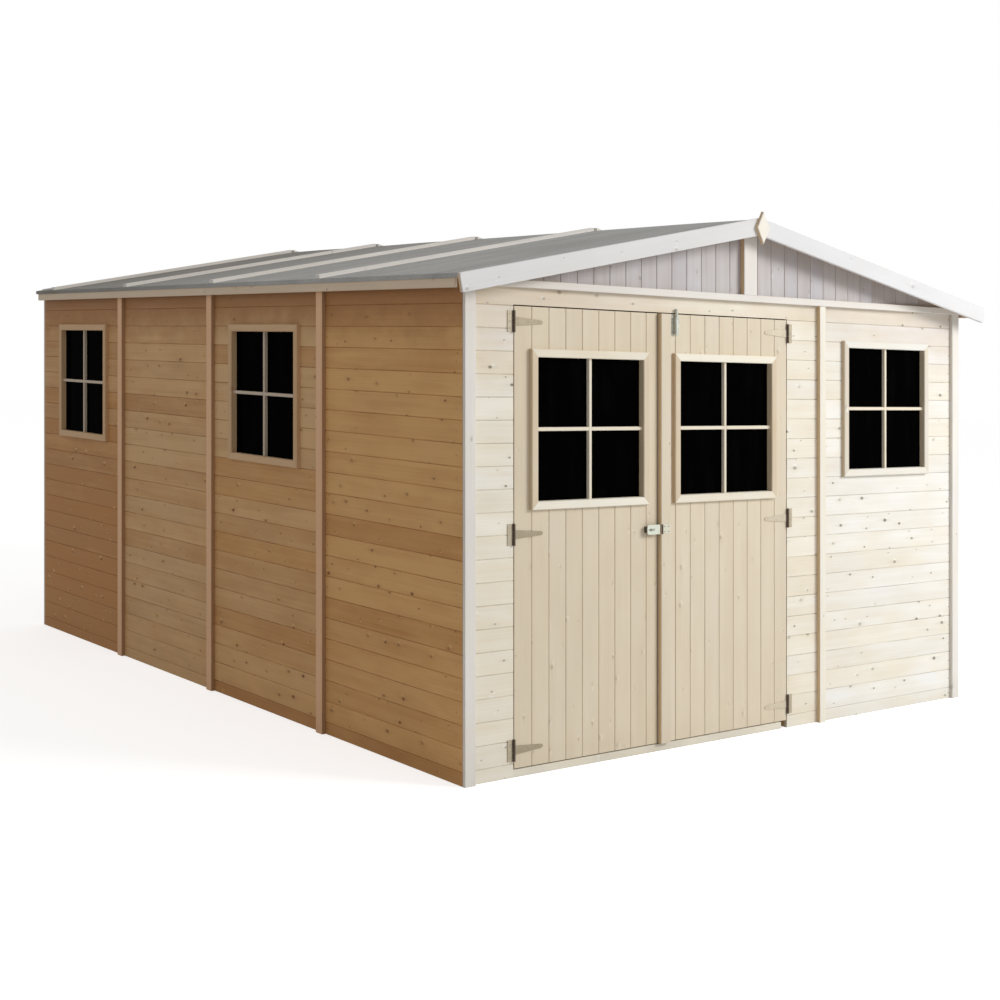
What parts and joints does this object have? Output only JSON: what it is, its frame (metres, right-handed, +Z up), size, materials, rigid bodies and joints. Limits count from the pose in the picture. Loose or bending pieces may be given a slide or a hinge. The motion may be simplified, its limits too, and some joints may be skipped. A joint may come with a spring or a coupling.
{
  "type": "wooden garden shed",
  "caption": "Wooden garden shed of boarded panels under a low pitched felt roof, with glazed outward-opening doors on tee hinges and small windows with glazing bars.",
  "frame": {"origin": "on the ground under the middle of the building, at the middle of its overall box", "axes": "+Z up, the doors face -Y, +X to the right seen from in front of the doors"},
  "size_m": [3.2648, 4.259, 2.3009],
  "materials": {
    "cladding": "natural planed softwood boards",
    "door": "natural planed softwood boards",
    "gable": "weathered softwood boards",
    "trim": "natural planed softwood",
    "barge": "pale planed softwood",
    "casing": "natural planed softwood",
    "framing": "sawn softwood",
    "felt": "mineral roofing felt",
    "glass": "clear",
    "zinc": "galvanised"
  },
  "bodies": {
    "building": {"left_wall_panels": "cladding", "right_wall_panels": "cladding", "back_wall_panels": "cladding", "front_wall_left": "cladding", "front_wall_right": "cladding", "front_wall_head": "cladding", "front_window_panel": "cladding", "door_sill": "cladding", "corner_trims": "trim", "front_cover_batten": "trim", "back_cover_battens": "trim", "side_cover_battens": "trim", "tie_beams": "trim", "front_gable": "gable", "back_gable": "gable", "gable_posts": "trim", "left_roof_deck": "framing", "right_roof_deck": "framing", "roof_felt": "felt", "roof_battens": "trim", "fascias": "trim", "left_barge_boards": "barge", "right_barge_boards": "barge", "finial": "barge", "ridge_beam": "framing", "roof_purlins": "framing", "sole_plates": "framing", "top_plates": "framing", "wall_studs": "framing", "left_window_frames": "casing", "right_window_frames": "casing", "front_window_frame": "casing", "wall_window_glass": "glass", "hinge_plates": "zinc"},
    "left_leaf": {"left_door": "door", "left_door_window_frame": "casing", "left_door_glass": "glass", "left_hinge_straps": "zinc", "hasp_flap": "zinc"},
    "right_leaf": {"right_door": "door", "right_door_window_frame": "casing", "right_door_glass": "glass", "right_hinge_straps": "zinc", "door_cover_strip": "trim", "hasp_plate": "zinc", "top_bolt": "zinc"}
  },
  "joints": [
    {"name": "left_door_hinge", "type": "hinge", "parent": "building", "child": "left_leaf", "pos_m": [-1.294, -2.0135, 0.95], "axis": [0, 0, -1], "range_deg": [0, 165]},
    {"name": "right_door_hinge", "type": "hinge", "parent": "building", "child": "right_leaf", "pos_m": [0.285, -2.0135, 0.95], "axis": [0, 0, 1], "range_deg": [0, 165]}
  ]
}
